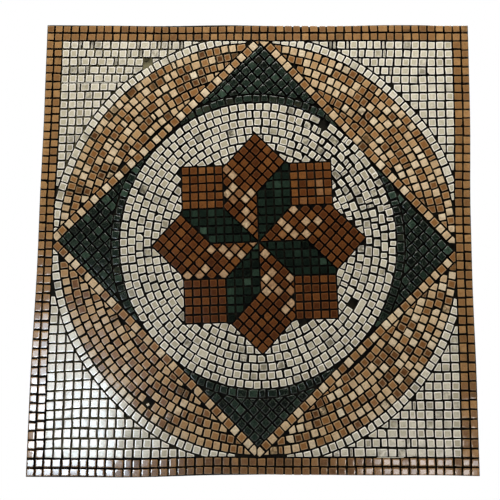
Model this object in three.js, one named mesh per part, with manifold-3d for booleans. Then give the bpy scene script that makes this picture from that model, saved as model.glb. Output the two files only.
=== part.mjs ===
// Mosaic panel: cut stone tesserae set on a thin bed, with a star medallion in a two-course frame.
// Millimetres, +Z up. The panel stands upright: its face looks along -Y and its back is the plane y = 0.
// The origin is the middle of the back.
import * as THREE from 'three';
import { mergeVertices } from 'three/addons/utils/BufferGeometryUtils.js';
import Module from 'manifold-3d';

const wasm = await Module();
wasm.setup();

// Driving sizes
const PANEL_WIDTH = 600;
const PANEL_HEIGHT = 624;
const STONES_ACROSS = 51;
const JOINT = 1.8;
const BED_THICKNESS = 2;
const STONE_THICKNESS = 8;
const BED_MARGIN = 0.6; // the bed stops this far inside the outer stones
const GROOVE_DEPTH = 4.5;

// The layout is worked out in stones: u runs right and v runs up from the middle of the panel.
const PITCH_U = (PANEL_WIDTH + JOINT) / STONES_ACROSS;
const PITCH_V = (PANEL_HEIGHT + JOINT) / STONES_ACROSS;
const HALF_JOINT = JOINT / 2 / PITCH_U;
const HALF_PANEL = STONES_ACROSS / 2;
const FRAME_COURSES = 2;
const HALF_OPENING = HALF_PANEL - FRAME_COURSES;
const CENTRE = [0.46, -0.07]; // the medallion sits a little off the middle of the frame

// Ring of single stones, slightly oval
const RING_RADIUS = 23.78;
const RING_OVAL = 0.22;
const RING_OVAL_DIRECTION = 137;
const RING_REACH = 36; // degrees that an arc of the ring runs either side of its diagonal, to the frame

// Diamond border: one course along each edge, set at a distance from the centre
const DIAMOND_EDGES = {
  ne: { direction: 43.6, distance: 16.62 },
  nw: { direction: 134.3, distance: 16.87 },
  sw: { direction: 226.2, distance: 16.6 },
  se: { direction: 313.5, distance: 16.8 },
};

const CREAM_RADIUS = 16.2;
const CREAM_COURSES = 6;
const GREEN_COURSES = 12;
const WEDGE_START = 9; // green corners and arcs lie further than this from the centre, along their axis
const ARC_REACH = 35; // degrees that a green arc runs either side of its axis
const SEGMENT_COURSES = 6;
const CORNER_COURSES = 12;

// Star: eight 45 degree rhombi that meet in the middle, and eight squares in the notches between them
const STAR_CENTRE = [0.55, 0];
const STAR_TURN = 2.5;
const RHOMBUS_SIDE = 5.6;
const RHOMBUS_COURSES = 4;
const SQUARE_SIDE = 4.9;
const SQUARE_COURSES = 5;

const CIRCLE_STEPS = 60;
const FAR = 60; // longer than any field, in stones

const COLOURS = {
  bed: { colour: 0x34342c, roughness: 0.9 },
  frame_stone: { colour: 0x9a6a3e, roughness: 0.4 },
  segment_stone: { colour: 0xb58e62, roughness: 0.4 },
  cream_stone: { colour: 0xdcd8c6, roughness: 0.35 },
  green_stone: { colour: 0x2c3d34, roughness: 0.3 },
  star_stone: { colour: 0x7a4426, roughness: 0.4 },
};

const toRadians = THREE.MathUtils.degToRad;
const panel = new THREE.Group();

// Plane outlines, in stones

function polar(radius, degrees, [u, v] = [0, 0]) {
  const a = toRadians(degrees);
  return [u + radius * Math.cos(a), v + radius * Math.sin(a)];
}

function rectangle(left, bottom, right, top) {
  return [[left, bottom], [right, bottom], [right, top], [left, top]];
}

// A strip whose length runs across a direction, from one distance to another along it
function strip(direction, from, to, middle = CENTRE) {
  const [nu, nv] = polar(1, direction);
  const at = (distance, along) => [
    middle[0] + nu * distance - nv * along,
    middle[1] + nv * distance + nu * along,
  ];
  return [at(from, -FAR), at(to, -FAR), at(to, FAR), at(from, FAR)];
}

function circle(radiusAt) {
  const points = [];
  for (let i = 0; i < CIRCLE_STEPS; i++) {
    const degrees = (i * 360) / CIRCLE_STEPS;
    points.push(polar(radiusAt(degrees), degrees, CENTRE));
  }
  return points;
}

function ringRadius(degrees) {
  return RING_RADIUS + RING_OVAL * Math.cos(2 * toRadians(degrees - RING_OVAL_DIRECTION));
}

// Moves every side of a convex outline inwards by a distance
function inset(points, distance) {
  const sides = points.map((p, i) => {
    const q = points[(i + 1) % points.length];
    const length = Math.hypot(q[0] - p[0], q[1] - p[1]);
    const along = [(q[0] - p[0]) / length, (q[1] - p[1]) / length];
    return { at: [p[0] - along[1] * distance, p[1] + along[0] * distance], along };
  });
  return sides.map((side, i) => {
    const before = sides[(i + sides.length - 1) % sides.length];
    const cross = before.along[0] * side.along[1] - before.along[1] * side.along[0];
    const du = side.at[0] - before.at[0];
    const dv = side.at[1] - before.at[1];
    const t = (du * side.along[1] - dv * side.along[0]) / cross;
    return [before.at[0] + before.along[0] * t, before.at[1] + before.along[1] * t];
  });
}

// Solids

function toManifold(geometry) {
  geometry.deleteAttribute('normal');
  geometry.deleteAttribute('uv');
  const merged = mergeVertices(geometry, 1e-4);
  return new wasm.Manifold(new wasm.Mesh({
    numProp: 3,
    vertProperties: new Float32Array(merged.attributes.position.array),
    triVerts: new Uint32Array(merged.index.array),
  }));
}

// A straight-sided solid on an outline in stones, between two depths in front of the back
function prism(points, back, front) {
  const shape = new THREE.Shape(points.map(([u, v]) => new THREE.Vector2(u * PITCH_U, v * PITCH_V)));
  const geometry = new THREE.ExtrudeGeometry(shape, { depth: front - back, bevelEnabled: false });
  geometry.rotateX(Math.PI / 2);
  geometry.translate(0, -back, 0);
  return toManifold(geometry);
}

const STONE_BACK = BED_THICKNESS;
const STONE_FRONT = BED_THICKNESS + STONE_THICKNESS;

function field(points) {
  return prism(points, STONE_BACK, STONE_FRONT);
}

// Cutters reach past both faces of the stones
function cutter(points) {
  return prism(points, STONE_BACK - 1, STONE_FRONT + 1);
}

function groove(points) {
  return prism(points, STONE_FRONT - GROOVE_DEPTH, STONE_FRONT + 1);
}

function straightGrooves(body, direction, distances, middle = CENTRE) {
  return distances.reduce(
    (solid, d) => solid.subtract(groove(strip(direction, d - HALF_JOINT, d + HALF_JOINT, middle))),
    body,
  );
}

function roundGrooves(body, radii) {
  return radii.reduce((solid, radiusAt) => {
    const outer = groove(circle((degrees) => radiusAt(degrees) + HALF_JOINT));
    const inner = cutter(circle((degrees) => radiusAt(degrees) - HALF_JOINT));
    return solid.subtract(outer.subtract(inner));
  }, body);
}

function range(count, start, step = 1) {
  return Array.from({ length: count }, (_, i) => start + i * step);
}

function addNode(name, solid, colourName) {
  const mesh = solid.getMesh();
  const geometry = new THREE.BufferGeometry();
  geometry.setAttribute('position', new THREE.BufferAttribute(new Float32Array(mesh.vertProperties), 3));
  geometry.setIndex(new THREE.BufferAttribute(new Uint32Array(mesh.triVerts), 1));
  geometry.computeVertexNormals();
  const { colour, roughness } = COLOURS[colourName];
  const material = new THREE.MeshStandardMaterial({ color: colour, roughness, metalness: 0 });
  const node = new THREE.Mesh(geometry, material);
  node.name = name;
  panel.add(node);
}

// Half planes and rounds that bound the fields

const OPENING_EDGE = HALF_OPENING - HALF_JOINT;
const opening = cutter(rectangle(-OPENING_EDGE, -OPENING_EDGE, OPENING_EDGE, OPENING_EDGE));
const insideRing = cutter(circle((degrees) => ringRadius(degrees) - 0.5 - HALF_JOINT));
const outsideRing = cutter(circle((degrees) => ringRadius(degrees) + 0.5 + HALF_JOINT));

function insideEdge({ direction, distance }) {
  return cutter(strip(direction, -FAR, distance - 0.5 - HALF_JOINT));
}

// A triangle from the centre that opens by an angle either side of a direction
function fan(direction, reach) {
  return cutter([CENTRE, polar(FAR, direction - reach, CENTRE), polar(FAR, direction + reach, CENTRE)]);
}

const QUADRANTS = { ne: [1, 1], nw: [-1, 1], sw: [-1, -1], se: [1, -1] };

function quadrant([right, up]) {
  const [u, v] = CENTRE;
  const left = right > 0 ? u + HALF_JOINT : -FAR;
  const bottom = up > 0 ? v + HALF_JOINT : -FAR;
  return rectangle(left, bottom, right > 0 ? FAR : u - HALF_JOINT, up > 0 ? FAR : v - HALF_JOINT);
}

// The bed that all the stones are set in
function addBed() {
  const u = HALF_PANEL - HALF_JOINT - BED_MARGIN / PITCH_U;
  const v = HALF_PANEL - JOINT / 2 / PITCH_V - BED_MARGIN / PITCH_V;
  addNode('bed', prism(rectangle(-u, -v, u, v), 0, BED_THICKNESS), 'bed');
}

// Four sides of two courses; the top and bottom take the corners
function addFrame() {
  const u = HALF_PANEL - HALF_JOINT;
  const v = HALF_PANEL - JOINT / 2 / PITCH_V;
  const innerV = HALF_OPENING + JOINT / 2 / PITCH_V;
  const innerU = HALF_OPENING + HALF_JOINT;
  const sides = {
    frame_top: [rectangle(-u, innerV, u, v), 90],
    frame_bottom: [rectangle(-u, -v, u, -innerV), 270],
    frame_left: [rectangle(-u, -OPENING_EDGE, -innerU, OPENING_EDGE), 180],
    frame_right: [rectangle(innerU, -OPENING_EDGE, u, OPENING_EDGE), 0],
  };
  for (const [name, [outline, across]] of Object.entries(sides)) {
    const middleJoint = [HALF_OPENING + FRAME_COURSES / 2];
    addNode(name, straightGrooves(field(outline), across, middleJoint, [0, 0]), 'frame_stone');
  }
}

// Cream corners in straight courses, and the cream ring that closes them
function addCornersAndRing() {
  for (const [corner, signs] of Object.entries(QUADRANTS)) {
    const quarter = field(quadrant(signs)).intersect(opening);
    const cornerField = quarter.subtract(outsideRing);
    const courses = range(CORNER_COURSES - 1, HALF_OPENING - 1, -1);
    const across = 90 * signs[1];
    addNode(`corner_field_${corner}`, straightGrooves(cornerField, across, courses, [0, 0]), 'cream_stone');
    const ringOut = cutter(circle((degrees) => ringRadius(degrees) + 0.5 - HALF_JOINT));
    const ringIn = cutter(circle((degrees) => ringRadius(degrees) - 0.5 + HALF_JOINT));
    const ring = quarter.intersect(fan(45 * (2 - signs[0]) * signs[1], RING_REACH)).intersect(ringOut);
    addNode(`ring_arc_${corner}`, ring.subtract(ringIn), 'cream_stone');
  }
}

// Arched courses between the ring and each edge of the diamond, and the single course along that edge
function addSegmentsAndDiamond() {
  const courses = range(SEGMENT_COURSES - 1, 1.5).map((step) => (degrees) => ringRadius(degrees) - step);
  for (const [side, { direction, distance }] of Object.entries(DIAMOND_EDGES)) {
    const quarter = field(quadrant(QUADRANTS[side])).intersect(opening);
    const beyond = cutter(strip(direction, distance + 0.5 + HALF_JOINT, FAR));
    const segment = quarter.intersect(insideRing).intersect(beyond);
    addNode(`segment_${side}`, roundGrooves(segment, courses), 'segment_stone');
    const band = cutter(strip(direction, distance - 0.5 + HALF_JOINT, distance + 0.5 - HALF_JOINT));
    addNode(`diamond_edge_${side}`, quarter.intersect(band), 'segment_stone');
  }
}

// Green corners of the diamond, and the green course that arches over the cream field
function addGreenFields() {
  const corners = { n: ['ne', 'nw', 90], w: ['nw', 'sw', 180], s: ['sw', 'se', 270], e: ['se', 'ne', 0] };
  const arcOut = cutter(circle(() => CREAM_RADIUS + 1 - HALF_JOINT));
  const arcIn = cutter(circle(() => CREAM_RADIUS + HALF_JOINT));
  const beyondArc = cutter(circle(() => CREAM_RADIUS + 1 + HALF_JOINT));
  for (const [corner, [first, second, direction]] of Object.entries(corners)) {
    const wedge = field(strip(direction, WEDGE_START, FAR))
      .intersect(opening)
      .intersect(insideEdge(DIAMOND_EDGES[first]))
      .intersect(insideEdge(DIAMOND_EDGES[second]));
    const { direction: across, distance } = DIAMOND_EDGES[first];
    const courses = range(GREEN_COURSES, distance - 1.5, -1);
    const triangle = straightGrooves(wedge.subtract(beyondArc), across, courses);
    addNode(`green_triangle_${corner}`, triangle, 'green_stone');
    const arc = wedge.intersect(fan(direction, ARC_REACH)).intersect(arcOut);
    addNode(`green_arc_${corner}`, arc.subtract(arcIn), 'green_stone');
  }
}

// Star outlines, each starting at the corner nearest the centre

const HALF_POINT = 22.5;
const BLUNT_TIP = (RHOMBUS_SIDE + SQUARE_SIDE) * Math.cos(toRadians(HALF_POINT));

// A rhombus whose tip is cut off level with the corners of the squares beside it
function starRhombus(direction) {
  const halfTip = (RHOMBUS_SIDE - SQUARE_SIDE) * Math.sin(toRadians(HALF_POINT));
  const tip = polar(BLUNT_TIP, direction, STAR_CENTRE);
  return [
    STAR_CENTRE,
    polar(RHOMBUS_SIDE, direction - HALF_POINT, STAR_CENTRE),
    polar(halfTip, direction - 90, tip),
    polar(halfTip, direction + 90, tip),
    polar(RHOMBUS_SIDE, direction + HALF_POINT, STAR_CENTRE),
  ];
}

function starSquare(direction) {
  const near = polar(RHOMBUS_SIDE, direction, STAR_CENTRE);
  const far = polar(SQUARE_SIDE * Math.SQRT2, direction, near);
  return [near, polar(SQUARE_SIDE, direction - 45, near), far, polar(SQUARE_SIDE, direction + 45, near)];
}

// Courses run along the last side of an outline
function starField(outline, count, step) {
  const near = outline[0];
  const left = outline.at(-1);
  const across = THREE.MathUtils.radToDeg(Math.atan2(left[1] - near[1], left[0] - near[0])) - 90;
  const courses = range(count - 1, step, step);
  return straightGrooves(field(inset(outline, HALF_JOINT)), across, courses, near);
}

// Adds the sixteen fields of the star and returns their outlines
function addStar() {
  const points = ['e', 'ne', 'n', 'nw', 'w', 'sw', 's', 'se'];
  const squares = points.map((point, i) => {
    const outline = starSquare(i * 45 + STAR_TURN);
    const solid = starField(outline, SQUARE_COURSES, SQUARE_SIDE / SQUARE_COURSES);
    addNode(`star_square_${point}`, solid, 'star_stone');
    return outline;
  });
  const between = ['ene', 'nne', 'nnw', 'wnw', 'wsw', 'ssw', 'sse', 'ese'];
  const rhombusDepth = RHOMBUS_SIDE * Math.SQRT1_2;
  const rhombi = between.map((point, i) => {
    const outline = starRhombus(i * 45 + HALF_POINT + STAR_TURN);
    const solid = starField(outline, RHOMBUS_COURSES, rhombusDepth / RHOMBUS_COURSES);
    const [name, stone] = i % 2 ? ['green_rhombus', 'green_stone'] : ['brown_rhombus', 'star_stone'];
    addNode(`${name}_${point}`, solid, stone);
    return outline;
  });
  return [...squares, ...rhombi];
}

// Cream rounds from the green course in to the star
function addCreamField(starOutlines) {
  let solid = field(circle(() => CREAM_RADIUS - HALF_JOINT));
  for (const outline of starOutlines) {
    solid = solid.subtract(cutter(inset(outline, -HALF_JOINT)));
  }
  const courses = range(CREAM_COURSES, CREAM_RADIUS - 1, -1).map((radius) => () => radius);
  addNode('cream_field', roundGrooves(solid, courses), 'cream_stone');
}

addBed();
addFrame();
addCornersAndRing();
addSegmentsAndDiamond();
addGreenFields();
addCreamField(addStar());

export default panel;
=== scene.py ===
"""Mosaic panel: some 2,800 small cut stones set on a thin resin bed with a glass-fibre net behind it."""
import math
import random
from dataclasses import dataclass

import bpy
from mathutils import Matrix, Vector, noise


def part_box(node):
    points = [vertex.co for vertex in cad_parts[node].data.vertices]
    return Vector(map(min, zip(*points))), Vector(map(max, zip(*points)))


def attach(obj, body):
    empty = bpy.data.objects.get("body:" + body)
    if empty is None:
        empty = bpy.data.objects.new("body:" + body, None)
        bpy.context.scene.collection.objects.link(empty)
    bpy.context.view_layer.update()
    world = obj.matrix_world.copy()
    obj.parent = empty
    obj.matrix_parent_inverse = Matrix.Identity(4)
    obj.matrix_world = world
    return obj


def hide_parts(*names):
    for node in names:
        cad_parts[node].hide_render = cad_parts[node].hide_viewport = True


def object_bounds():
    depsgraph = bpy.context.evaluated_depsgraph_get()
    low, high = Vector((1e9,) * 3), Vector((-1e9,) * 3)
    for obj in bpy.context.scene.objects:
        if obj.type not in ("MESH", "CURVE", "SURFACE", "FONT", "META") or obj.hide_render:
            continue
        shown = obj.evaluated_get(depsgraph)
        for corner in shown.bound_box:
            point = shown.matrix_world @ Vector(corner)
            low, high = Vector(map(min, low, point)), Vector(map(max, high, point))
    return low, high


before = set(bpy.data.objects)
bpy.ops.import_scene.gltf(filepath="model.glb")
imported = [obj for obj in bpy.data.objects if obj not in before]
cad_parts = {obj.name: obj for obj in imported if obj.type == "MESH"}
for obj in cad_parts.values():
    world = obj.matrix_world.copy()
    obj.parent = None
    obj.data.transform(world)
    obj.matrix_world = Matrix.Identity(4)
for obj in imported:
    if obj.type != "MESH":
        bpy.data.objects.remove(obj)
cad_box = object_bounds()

# Sizes, in metres
JOINT = 0.0018
STONE_GAP = 0.00245  # between faces, a little more than the joint between the stones' bodies
# The arris in steps: how far in from the side, how far below the top, corner radius in stones, and the share
# of painted highlight
ARRIS = (
    (0.0, 0.0004, 0.034, 1.0),
    (0.00022, 0.00009, 0.03, 1.0),
    (0.0008, 0.00003, 0.02, 0.8),
    (0.0014, 0.0, 0.01, 0.0),
)
WORN_DEPTH = 0.00015  # the arris's second step where the green stones have worn rounder
WORN_FIELDS = ("green_triangle", "green_arc")
ARRIS_ROOM = 0.6  # the most of a small stone that its arris takes up
STONE_TILT = 0.012
STONE_RISE = 0.00012
RESIN_DEPTH = 0.0048  # how far below the faces the joints are filled
RESIN_MARGIN = 0.0001
RESIN_LUMPS = 0.0018
RESIN_DRAWN_IN = 0.0035  # how much narrower the resin is at its back, to show the stones' sides
EDGE_LIP = 0.04  # how far the resin stands out round the outer stones, in stones
RIM_RESIN_DEPTH = 0.0009  # the same at the outer edge, where the resin wells up
RIM_RESIN_WIDTH = 0.0045
RIM_LUMPS = 0.0003
BED_BACK_LUMPS = 0.0003
BED_FRONT_LUMPS = 0.00016
BED_FRONT_DIP = 0.00018
BED_EDGE_LUMPS = 0.0005
NET_SPACING = 0.005
NET_THREAD_WIDTH = 0.0009
NET_THREAD_DEPTH = 0.00022
NET_WANDER = 0.0007
NET_MARGIN = 0.004  # how much shorter the net is than the sheet
FIBRE_RADIUS = 0.0004
FIBRE_DEPTH = 0.0006
FLOOR_DROP = 0.42
FLOOR_RADIUS = 1.1

# The layout is worked out in stones: u runs right and v runs up from the middle of the panel.
panel_low, panel_high = cad_box
SQUARE_SHARE = 0.986  # the square sheet's part of the panel; its corners are pulled out by the rest
sheet_width = (panel_high.x - panel_low.x) * SQUARE_SHARE
sheet_height = (panel_high.z - panel_low.z) * SQUARE_SHARE
STONES_ACROSS = 51
PITCH_U = (sheet_width + JOINT) / STONES_ACROSS
PITCH_V = (sheet_height + JOINT) / STONES_ACROSS
FACE = panel_low.y
BED_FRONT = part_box("bed")[0].y
HALF_JOINT = JOINT / 2 / PITCH_U
HALF_GAP = STONE_GAP / 2 / PITCH_U
HALF_PANEL = STONES_ACROSS / 2
FRAME_COURSES = 2
HALF_OPENING = HALF_PANEL - FRAME_COURSES
CENTRE = Vector((0.46, -0.07))
SLIVER = 0.6  # stones shorter than this are smeared with resin
SHORTEST_SIDE = 0.08
SMALLEST_STONE = 0.08  # offcuts whose middle is nearer than this to a side are left out

RING_RADIUS = 23.78
RING_OVAL = 0.22
RING_OVAL_DIRECTION = 137
ARC_REACH = 46  # degrees that a quarter of a round runs either side of its middle
CORNER_COURSES = 17
CORNER_PITCH = 1.02
CORNER_LENGTH = 19.0
LEFT_STONES = 48
RIGHT_STONES = 46
SEGMENT_COURSES = 6
SEGMENT_PITCH = 0.99
DIAMOND_REACH = 26  # how far courses along the diamond run either side of the middle of its edge
DIAMOND_EDGES = {"ne": (43.6, 16.62), "nw": (134.3, 16.87), "sw": (226.2, 16.6), "se": (313.5, 16.8)}
QUADRANTS = {"ne": (1, 1), "nw": (-1, 1), "sw": (-1, -1), "se": (1, -1)}
CREAM_RADIUS = 16.2
CREAM_COURSES = 9
CREAM_OUTER_COURSE = 15.72
CREAM_STEP = 0.935
GREEN_COURSES = 14
GREEN_ARC_REACH = 38

STAR_CENTRE = Vector((0.55, 0.0))
STAR_TURN = 2.5
HALF_POINT = 22.5
RHOMBUS_SIDE = 5.6
SQUARE_SIDE = 4.9
SQUARE_COURSES = 5
RHOMBUS_COURSES = 4
STAR_SLACK = 0.012
TIP_STONE = (12.97, 1.2)  # distance and bearing of the stone that closes the star's right-hand tip


# Plane geometry

@dataclass
class Stone:
    outline: list  # corners, anticlockwise, in stones
    tone: float  # place on the colours of its kind of stone, 0 to 1
    stain: float = 0.0  # how much of the setting resin is smeared over it


def heading(degrees):
    return Vector((math.cos(math.radians(degrees)), math.sin(math.radians(degrees))))


def bearing(vector):
    return math.degrees(math.atan2(vector.y, vector.x))


def spot(radius, degrees, centre=CENTRE):
    return centre + heading(degrees) * radius


def middle_of(outline):
    return sum(outline, Vector((0.0, 0.0))) / len(outline)


def area_of(outline):
    return sum(a.x * b.y - a.y * b.x for a, b in sides_of(outline)) / 2


def sides_of(outline):
    return zip(outline, outline[1:] + outline[:1])


def nearest_side(outline):
    """Distance from the middle of an outline to its nearest side"""
    middle = middle_of(outline)
    distances = []
    for here, there in sides_of(outline):
        along = (there - here).normalized()
        distances.append((middle - here).dot(Vector((-along.y, along.x))))
    return min(distances)


def cut(outline, point, outward):
    """The part of a convex outline that lies inside a line"""
    kept = []
    for here, there in sides_of(outline):
        near, far = (here - point).dot(outward), (there - point).dot(outward)
        if near <= 0:
            kept.append(here)
        if near * far < 0:
            kept.append(here.lerp(there, near / (near - far)))
    return kept


def without_short_sides(outline):
    kept = []
    for corner in outline:
        if not kept or (corner - kept[-1]).length > SHORTEST_SIDE:
            kept.append(corner)
    while len(kept) > 2 and (kept[0] - kept[-1]).length < SHORTEST_SIDE:
        kept.pop()
    return kept


def eased(outline, radius):
    """Takes the sharp point off every corner"""
    points = []
    for i, corner in enumerate(outline):
        for neighbour in (outline[i - 1], outline[(i + 1) % len(outline)]):
            reach = min(radius / (neighbour - corner).length, 0.35)
            points.append(corner.lerp(neighbour, reach))
    return points


def drawn_in(outline, inset):
    """The outline with every side moved inwards"""
    corners = []
    for i, corner in enumerate(outline):
        before = (corner - outline[i - 1]).normalized()
        after = (outline[(i + 1) % len(outline)] - corner).normalized()
        first, second = Vector((-before.y, before.x)), Vector((-after.y, after.x))
        corners.append(corner + (first + second) * inset / (1 + first.dot(second)))
    return corners


def most_inset(outline, step=0.01):
    """How far the sides can move in before one of them vanishes"""
    room = []
    for (a, b), (c, d) in zip(sides_of(outline), sides_of(drawn_in(outline, step))):
        shrinkage = (b - a).length - (d - c).length
        if shrinkage > 0:
            room.append((b - a).length * step / shrinkage)
    return min(room)


# Limits: each cuts a stone's outline to one side of a joint

def short_of(direction, distance, centre=CENTRE):
    outward = heading(direction)
    return lambda outline: cut(outline, centre + outward * distance, outward)


def beyond(direction, distance, centre=CENTRE):
    return short_of(direction + 180, -distance, centre)


def round_limit(radius_at, side):
    """Side 1 keeps what lies inside a round joint, side -1 what lies outside it"""
    def limit(outline):
        away = (middle_of(outline) - CENTRE).normalized()
        return cut(outline, CENTRE + away * radius_at(bearing(away)), away * side)
    return limit


def inside(shape):
    def limit(outline):
        for here, there in sides_of(shape):
            outward = Vector((there.y - here.y, here.x - there.x)).normalized()
            outline = cut(outline, here - outward * HALF_JOINT, outward) if len(outline) > 2 else []
        return outline
    return limit


def clear_of(shape):
    """Cuts a stone along the one side of a shape that leaves the most of it"""
    def limit(outline):
        choices = []
        for here, there in sides_of(shape):
            inward = Vector((here.y - there.y, there.x - here.x)).normalized()
            kept = cut(outline, here - inward * HALF_JOINT, inward)
            choices.append((area_of(kept) if len(kept) > 2 else 0, kept))
        return max(choices, key=lambda choice: choice[0])[1]
    return limit


def trim(stones, *limits):
    kept = []
    for stone in stones:
        outline = stone.outline
        for limit in limits:
            if len(outline) > 2:
                outline = limit(outline)
        outline = without_short_sides(outline)
        if len(outline) > 2 and nearest_side(outline) > SMALLEST_STONE:
            kept.append(Stone(outline, stone.tone, stone.stain))
    return kept


OPENING = [
    short_of(direction, HALF_OPENING - HALF_JOINT, Vector((0, 0)))
    for direction in (0, 90, 180, 270)
]


def quadrant(corner):
    right, up = QUADRANTS[corner]
    return [beyond(90 - 90 * right, HALF_JOINT), beyond(90 * up, HALF_JOINT)]


def ring_radius(degrees):
    return RING_RADIUS + RING_OVAL * math.cos(2 * math.radians(degrees - RING_OVAL_DIRECTION))


# Laying stones

CORNERS = ((-1, -1), (1, -1), (1, 1), (-1, 1))
# How unevenly stones are laid by hand: degrees, stones, share of a stone's size, stones
TURN_SLACK = 1.3
PLACE_SLACK = 0.014
SIZE_SLACK = 0.018
CORNER_SLACK = 0.012
KNOCKED_SHARE = 0.03  # the share of stones with a corner knocked off
STAINED_SHARE = 0.012


def pick_tone(chance, mix):
    """A mix lists shares of stone with the lowest and highest tone of each"""
    share = chance.random()
    for part, low, high in mix:
        share -= part
        if share <= 0:
            break
    return chance.uniform(low, high)


def lay_stone(chance, middle, along, length, depth, mix, looseness=1.0):
    """One stone, laid by hand: a little off its place, turned, and not quite square"""
    turn = along + chance.gauss(0, TURN_SLACK) * looseness
    right, up = heading(turn), heading(turn + 90)
    middle = middle + Vector((chance.gauss(0, PLACE_SLACK), chance.gauss(0, PLACE_SLACK))) * looseness
    half_length = length * chance.gauss(1, SIZE_SLACK) / 2 - HALF_GAP
    half_depth = depth * chance.gauss(1, SIZE_SLACK) / 2 - HALF_GAP
    outline = []
    for i, j in CORNERS:
        off_length = half_length * i + chance.gauss(0, CORNER_SLACK) * looseness
        off_depth = half_depth * j + chance.gauss(0, CORNER_SLACK) * looseness
        outline.append(middle + right * off_length + up * off_depth)
    stone = Stone(outline, pick_tone(chance, mix))
    if chance.random() < KNOCKED_SHARE * looseness:
        knock_off_corner(chance, stone)
    if chance.random() < STAINED_SHARE:
        stone.stain = chance.uniform(0.3, 0.8)
    return stone


def knock_off_corner(chance, stone):
    corner = chance.choice(stone.outline)
    outward = (corner - middle_of(stone.outline)).normalized()
    stone.outline = cut(stone.outline, corner - outward * chance.uniform(0.08, 0.22), outward)


def even_marks(chance, first, count, length, slack=0.03):
    """Joints of a course at even steps, as pairs"""
    marks = [first + i * length + chance.gauss(0, slack) for i in range(count + 1)]
    return list(zip(marks, marks[1:]))


def odd_marks(chance, first, last, odd_from, lengths):
    """Joints of a course of whole stones that ends in stones of odd lengths"""
    marks = [first]
    while marks[-1] < last:
        odd = marks[-1] > odd_from
        marks.append(marks[-1] + (chance.choice(lengths) if odd else chance.gauss(1, 0.025)))
    return list(zip(marks, marks[1:]))


def straight_courses(chance, corner, along, across, count, pitch, marks_of, mix, looseness=1.0):
    stones = []
    for row in range(count):
        line = corner + heading(across) * (row + 0.5) * pitch
        for start, end in marks_of(row):
            if end - start > 2 * (HALF_GAP + SMALLEST_STONE):
                middle = line + heading(along) * (start + end) / 2
                stone = lay_stone(chance, middle, along, end - start, pitch, mix, looseness)
                if end - start < SLIVER:
                    stone.stain = chance.uniform(0.5, 1.0)
                stones.append(stone)
    return stones


def even(degrees):
    return 0.0


def round_course(chance, radius_at, first, last, mix, length=0.97, pitch=0.98, disorder_at=even):
    """One course from a first to a last bearing; where there is disorder, stones are odd sizes or lost"""
    sizes, bearings = [], [first]
    while bearings[-1] < last:
        odd = chance.random() < 0.04 + 0.3 * disorder_at(bearings[-1])
        sizes.append(length * (chance.choice((0.6, 0.75, 1.2, 1.3)) if odd else chance.gauss(1, 0.035)))
        bearings.append(bearings[-1] + math.degrees(sizes[-1] / radius_at(bearings[-1])))
    squeeze = (last - first) / (bearings[-1] - first)
    stones = []
    for size, start, end in zip(sizes, bearings, bearings[1:]):
        facing = first + ((start + end) / 2 - first) * squeeze
        disorder = disorder_at(facing)
        if chance.random() > disorder * 0.012:
            middle = spot(radius_at(facing), facing)
            stone = lay_stone(
                chance, middle, facing - 90, size * squeeze - 0.04 * disorder, pitch - 0.04 * disorder,
                mix, 1 + 2 * disorder,
            )
            if chance.random() < disorder * 0.3:
                stone.stain = chance.uniform(0.4, 1.0)
            stones.append(stone)
    return stones


# The fields of the mosaic, each a list of stones

BORDER_MIX = ((0.5, 0.4, 0.7), (0.3, 0.1, 0.4), (0.2, 0.7, 1.0))
CREAM_MIX = ((0.75, 0.45, 0.85), (0.15, 0.85, 1.0), (0.1, 0.1, 0.45))
ROUND_MIX = ((0.7, 0.22, 0.52), (0.14, 0.52, 0.85), (0.16, 0.0, 0.25))
GREEN_MIX = ((0.6, 0.25, 0.6), (0.25, 0.0, 0.25), (0.15, 0.6, 0.95))
SEGMENT_MIXES = {
    "ne": ((0.45, 0.68, 0.92), (0.47, 0.22, 0.48), (0.08, 0.5, 0.62)),
    "nw": ((0.5, 0.58, 0.86), (0.36, 0.28, 0.48), (0.14, 0.02, 0.2)),
    "sw": ((0.62, 0.55, 0.78), (0.33, 0.3, 0.5), (0.05, 0.8, 0.95)),
    "se": ((0.5, 0.6, 0.88), (0.42, 0.22, 0.46), (0.08, 0.02, 0.15)),
}
SEGMENT_SHIFT = {"ne": 0.0, "nw": 0.0, "sw": -0.07, "se": 0.05}
DIAMOND_MIX = ((0.5, 0.7, 0.92), (0.5, 0.3, 0.5))
STAR_BROWN = ((0.6, 0.2, 0.42), (0.25, 0.05, 0.2), (0.15, 0.42, 0.58))
STAR_ORANGE = ((0.7, 0.4, 0.62), (0.3, 0.25, 0.42))
STAR_MIXED = ((0.4, 0.42, 0.66), (0.6, 0.15, 0.4))
STAR_RED = ((0.8, 0.08, 0.3), (0.2, 0.3, 0.5))
SQUARE_MIXES = {"nw": STAR_ORANGE, "ne": STAR_MIXED, "sw": STAR_RED}
STAR_PALE = ((1.0, 0.84, 1.0),)
STAR_TAN = ((1.0, 0.56, 0.8),)

# One stone of the border is wider than the rest, and its neighbour narrower by as much
WIDE_STONE_COURSE = ("frame_top", 0)
WIDE_STONE_PLACE = 40
WIDE_STONE_EXTRA = 0.3
# Painted light and shade: how much paler or darker the border is along each side, darker along the bottom and
# paler along the left
BORDER_LIGHT_AND_SHADE = {"frame_top": 0.0, "frame_bottom": -0.28, "frame_left": 0.35, "frame_right": 0.1}
# Where the outer edge dips in: distance along the side from its middle, reach, and depth
EDGE_DIPS = {
    "frame_top": ((-10, 5, 0.07), (7, 6, 0.2), (23, 2, 0.1)),
    "frame_bottom": ((4, 6, 0.11), (20, 4, 0.06)),
    "frame_left": ((0, 11, 0.18),),
    "frame_right": ((-6, 7, 0.05), (12, 8, 0.06)),
}
# How near the outer edge or a course's end a corner is lined up with it
NEAR_EDGE = 0.2
NEAR_END = 0.25
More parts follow.
